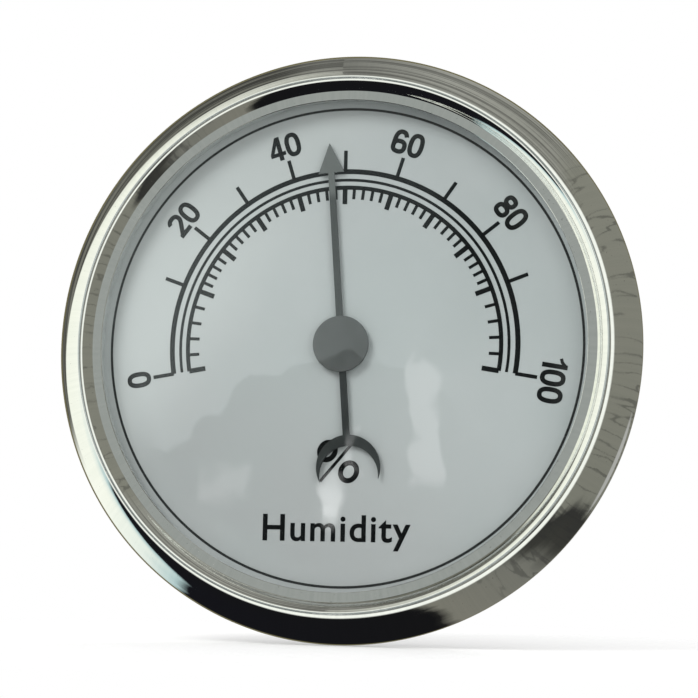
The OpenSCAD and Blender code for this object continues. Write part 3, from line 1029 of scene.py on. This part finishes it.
def studio_joints(tree, turn, swayed, tilt):
    """Thin upright joints across the grey side."""
    low = add(tree, "CombineXYZ", {0: turn, 1: maths(tree, "MULTIPLY", tilt, 0.01)}).outputs[0]
    crossing = maths(tree, "SUBTRACT", noise(tree, low, 0.25, 2.0, 0.6), 0.5)
    lines = between(tree, maths(tree, "ABSOLUTE", crossing), 0.022, 0.006, 0.0, 0.45)
    return maths(tree, "MULTIPLY", lines, span(tree, swayed, 48.0, 56.0, 140.0, 152.0))


def studio_rows(tree, turn, tilt):
    """Uneven rows along the slopes, from 0 to 1."""
    rows = add(tree, "CombineXYZ", {0: tilt, 1: maths(tree, "MULTIPLY", turn, 0.08)}).outputs[0]
    return between(tree, noise(tree, rows, 0.16, 3.0, 0.6), 0.42, 0.58)


def studio_rear(tree, tone, direction, turn, rows):
    """Dim surroundings behind the dial, and lights that show the rear lip."""
    toward = vector_maths(tree, "DOT_PRODUCT", direction, BEHIND)
    limit = between(tree, turn, 246.0, 335.0, 0.56, -0.15)
    dim = between(tree, maths(tree, "SUBTRACT", toward, limit), -0.05, 0.05)
    dim = maths(tree, "MULTIPLY", dim, span(tree, turn, 242.0, 256.0, 345.0, 358.0))
    tone = mix(tree, dim, tone, mix(tree, rows, (0.19, 0.19, 0.165, 1), (0.055, 0.055, 0.05, 1)))
    tone = mix(tree, patch(tree, direction, BEHIND, 34.0, 40.0), tone, (0.17, 0.155, 0.085, 1))
    tone = mix(tree, patch(tree, direction, Vector((0, 1, 0)), 14.0, 20.0), tone, (0.42, 0.42, 0.45, 1))
    return mix(tree, patch(tree, direction, REAR_LIGHT, 7.0, 11.0), tone, (0.44, 0.44, 0.43, 1))


def studio_pattern(tree, direction, x, y, z):
    """What the plating mirrors: a white wall, a dark floor, a grey side with joints."""
    tilt = maths(tree, "DEGREES", maths(tree, "ARCCOSINE", maths(tree, "MULTIPLY", y, -1.0)))
    sway = maths(tree, "SUBTRACT", noise(tree, direction, 3.0, 3.0), 0.5)
    sway = maths(tree, "MULTIPLY", sway, 5.0)
    turn = studio_turn(tree, x, z)
    swayed = studio_swayed(tree, turn, tilt, sway)
    stops = [(degrees / 360, colour) for degrees, colour in STUDIO_SIDES]
    tone = ramp(tree, maths(tree, "DIVIDE", swayed, 360.0), stops)
    tone = mix(tree, studio_joints(tree, turn, swayed, tilt), tone, grey(0.03))
    rows = studio_rows(tree, turn, tilt)
    top = maths(tree, "MAXIMUM", between(tree, swayed, 300.0, 330.0), between(tree, swayed, 58.0, 44.0))
    top = maths(tree, "MULTIPLY", maths(tree, "MULTIPLY", top, rows), 0.75)
    tone = mix(tree, top, tone, grey(0.3), "MULTIPLY")
    outer = between(tree, maths(tree, "ADD", tilt, sway), 39.0, 31.0)
    ring = maths(tree, "MULTIPLY", between(tree, tilt, 13.0, 18.0), outer)
    tone = mix(tree, ring, tone, (1.0, 1.02, 0.97, 1))
    return studio_rear(tree, tone, direction, turn, rows)


def glass_sky(tree, across, up, ragged):
    """Bright room above an uneven dark skyline, brighter towards the lower left."""
    hill = maths(tree, "POWER", maths(tree, "ABSOLUTE", maths(tree, "ADD", across, 1.5)), 2.0)
    hill = maths(tree, "MINIMUM", maths(tree, "MULTIPLY", hill, 0.03), 11.0)
    skyline = maths(tree, "ADD", maths(tree, "SUBTRACT", -1.5, hill), ragged)
    above = between(tree, maths(tree, "SUBTRACT", up, skyline), -0.3, 0.5)
    shaded = between(tree, maths(tree, "ADD", across, ragged), 14.0, 8.0, 0.25, 1.0)
    lower_left = maths(tree, "ADD", across, maths(tree, "MULTIPLY", up, 0.75))
    glow = between(tree, maths(tree, "MULTIPLY", lower_left, -0.8), -12.0, 18.0)
    sky = mix(tree, glow, (0.28, 0.32, 0.32, 1), (0.85, 0.92, 0.91, 1))
    return mix(tree, maths(tree, "MULTIPLY", above, shaded), grey(0.02), sky)


def glass_view(tree, x, z):
    """What the flat glass mirrors towards the camera, laid out in mm on the dial."""
    across = maths(tree, "MULTIPLY", maths(tree, "SUBTRACT", x, MIRROR.x), CAMERA_DISTANCE)
    up = maths(tree, "MULTIPLY", maths(tree, "SUBTRACT", z, MIRROR.z), CAMERA_DISTANCE)
    spot = add(tree, "CombineXYZ", {0: across, 1: up}).outputs[0]
    ragged = maths(tree, "SUBTRACT", noise(tree, spot, 0.16, 3.0), 0.5)
    ragged = maths(tree, "MULTIPLY", ragged, 7.0)
    tone = glass_sky(tree, across, up, ragged)
    edge_x = maths(tree, "ADD", across, maths(tree, "MULTIPLY", ragged, 0.5))
    edge_z = maths(tree, "ADD", up, ragged)
    for left, right, bottom, top, light in GLASS_LIGHTS:
        wide = span(tree, edge_x, left, left + 0.8, right - 0.8, right)
        high = span(tree, edge_z, bottom, bottom + 2.5, top - 2.5, top)
        tone = mix(tree, maths(tree, "MULTIPLY", wide, high), tone, grey(light))
    reach = vector_maths(tree, "LENGTH", spot)
    return mix(tree, between(tree, reach, 24.0, 27.5), tone, (0.33, 0.35, 0.34, 1))


def make_world():
    """White to the camera, an even light to matt surfaces, the studio to shiny ones."""
    world = bpy.data.worlds.new("studio")
    bpy.context.scene.world = world
    world.use_nodes = True
    tree = world.node_tree
    tree.nodes.clear()
    direction = add(tree, "TexCoord").outputs["Generated"]
    x, y, z = add(tree, "SeparateXYZ", {0: direction}).outputs
    pattern = studio_pattern(tree, direction, x, y, z)
    pattern = mix(tree, patch(tree, direction, MIRROR, 13.0, 17.0), pattern, glass_view(tree, x, z))
    path = add(tree, "LightPath")
    even = mix(tree, between(tree, z, -1.0, 1.0), grey(0.50), grey(0.85))
    seen = mix(tree, path.outputs["Is Glossy Ray"], even, pattern)
    seen = mix(tree, path.outputs["Is Camera Ray"], seen, grey(1.0))
    light = add(tree, "Background", {"Color": seen, "Strength": 1.0}).outputs[0]
    add(tree, "OutputWorld", {"Surface": light})


def area_light(name, place_at, aim, size, power):
    """Soft square lamp that shiny surfaces don't mirror."""
    lamp = bpy.data.lights.new(name, "AREA")
    lamp.shape, lamp.size, lamp.energy = "SQUARE", size, power
    obj = bpy.data.objects.new(name, lamp)
    obj.location = place_at
    obj.rotation_euler = (Vector(aim) - Vector(place_at)).to_track_quat("-Z", "Y").to_euler()
    obj.visible_glossy = False
    bpy.context.scene.collection.objects.link(obj)


def make_lights():
    """Key from the upper left, a weak fill, and one lamp for the rear."""
    area_light("key", (-0.28, -0.42, 0.38), (0, 0, 0), 0.25, 2.2)
    area_light("fill", (0.40, -0.35, 0.10), (0, 0, 0), 0.35, 0.7)
    area_light("rear", (0.20, 0.45, 0.35), (0, 0, 0), 0.30, 1.6)


def make_camera():
    """Camera a little below the middle of the dial and to its right."""
    low, high = CAD_BOX
    centre = (low + high) / 2
    camera = bpy.data.objects.new("camera", bpy.data.cameras.new("camera"))
    camera.data.lens = 92
    camera.data.sensor_width = 36
    camera.data.clip_start, camera.data.clip_end = 0.01, 10
    back = Vector((-MIRROR.x, MIRROR.y, -MIRROR.z))
    camera.location = centre + back * CAMERA_DISTANCE * MM
    roll = Matrix.Rotation(math.radians(CAMERA_ROLL), 4, "Z")
    turned = (-back).to_track_quat("-Z", "Y").to_matrix().to_4x4() @ roll
    camera.rotation_euler = turned.to_euler()
    bpy.context.scene.collection.objects.link(camera)
    bpy.context.scene.camera = camera
    bpy.context.scene.view_settings.view_transform = "Standard"


# ----------------------------------------------------------------- assembly


def finish_with(obj, material, body=None):
    """Gives a piece its material and the body it rides on."""
    obj.data.materials.clear()
    obj.data.materials.append(material)
    if body:
        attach(obj, body)


def build_front(chrome, ink_look):
    """Bezel, print, pointer and hub."""
    bezel = make_bezel()
    finish_with(bezel, chrome, "case")
    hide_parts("bezel")
    arm_paint = paint_material("pointer_paint", srgb(44, 48, 49), srgb(36, 40, 41), 0.5, srgb(94, 98, 97))
    hub_paint = paint_material("hub_paint", srgb(82, 85, 85), srgb(75, 78, 78), 0.5)
    parts = ((make_pointer(), arm_paint, "pointer"), (make_hub(), hub_paint, "pointer_hub"))
    for obj, paint, node in parts:
        finish_with(obj, paint, "pointer_shaft")
        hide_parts(node)
    marks = (
        ("print_border", print_border),
        ("print_scale", print_scale),
        ("print_numbers", print_numbers),
        ("print_percent", print_percent),
    )
    for obj in [make_print(name, draw) for name, draw in marks] + [make_word()]:
        finish_with(obj, ink_look, "case")


def build_case(plastic):
    """Rear cup."""
    housing = make_housing()
    finish_with(housing, plastic, "case")
    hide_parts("housing")


def build_coil(bronze, film):
    """Both layers of the coil."""
    layers = (
        ("coil_strip", LAYER_T / 2, bronze, "spring_bronze", "coil_metal_strip"),
        ("coil_film", -LAYER_T / 2, film, "moisture_film", "coil_moisture_film"),
    )
    for name, offset, material, slot, node in layers:
        layer = make_coil_layer(name, offset)
        finish_with(layer, material)
        wind(layer)
        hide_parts(node)


def dress(node, material):
    """Gives a CAD node a new finish."""
    NODES[node].data.materials.clear()
    NODES[node].data.materials.append(material)
    soften(NODES[node], 30)


def main():
    brass = metal_material("brass", srgb(205, 170, 98), srgb(176, 141, 76), 0.24)
    steel = metal_material("steel", srgb(196, 198, 200), srgb(160, 162, 164), 0.22)
    dark_steel = metal_material("dark_steel", srgb(96, 97, 100), srgb(66, 67, 70), 0.32)
    bronze = metal_material("spring_bronze", srgb(190, 138, 96), srgb(160, 112, 76), 0.26, (1.0, 0.1, 1.0))
    film = moulding_material("moisture_film", srgb(206, 190, 150), srgb(188, 170, 128), 0.35, 0.3)
    nylon = moulding_material("nylon", srgb(226, 224, 214), srgb(212, 209, 198), 0.4, 0.4)
    grey_plastic = moulding_material("grey_plastic", srgb(190, 194, 193), srgb(176, 180, 179), 0.45)

    build_front(chrome_material(), ink_material())
    build_case(black_plastic_material())
    build_coil(bronze, film)

    dress("lens", glass_material())
    dress("spacer_ring", grey_plastic)
    dress("dial_board", board_material())
    dress("dial_sheet", dial_sheet_material())
    for node in ("dial_bush", "movement_plate", "rear_bush", "coil_collet"):
        dress(node, brass)
    for node in ("movement_screws", "arbor"):
        dress(node, steel)
    for node in ("calibration_screw", "friction_washer", "regulator_arm", "coil_post"):
        dress(node, dark_steel)
    dress("thrust_washer", nylon)

    make_floor(CAD_BOX[0].z)
    make_world()
    make_lights()
    make_camera()


main()
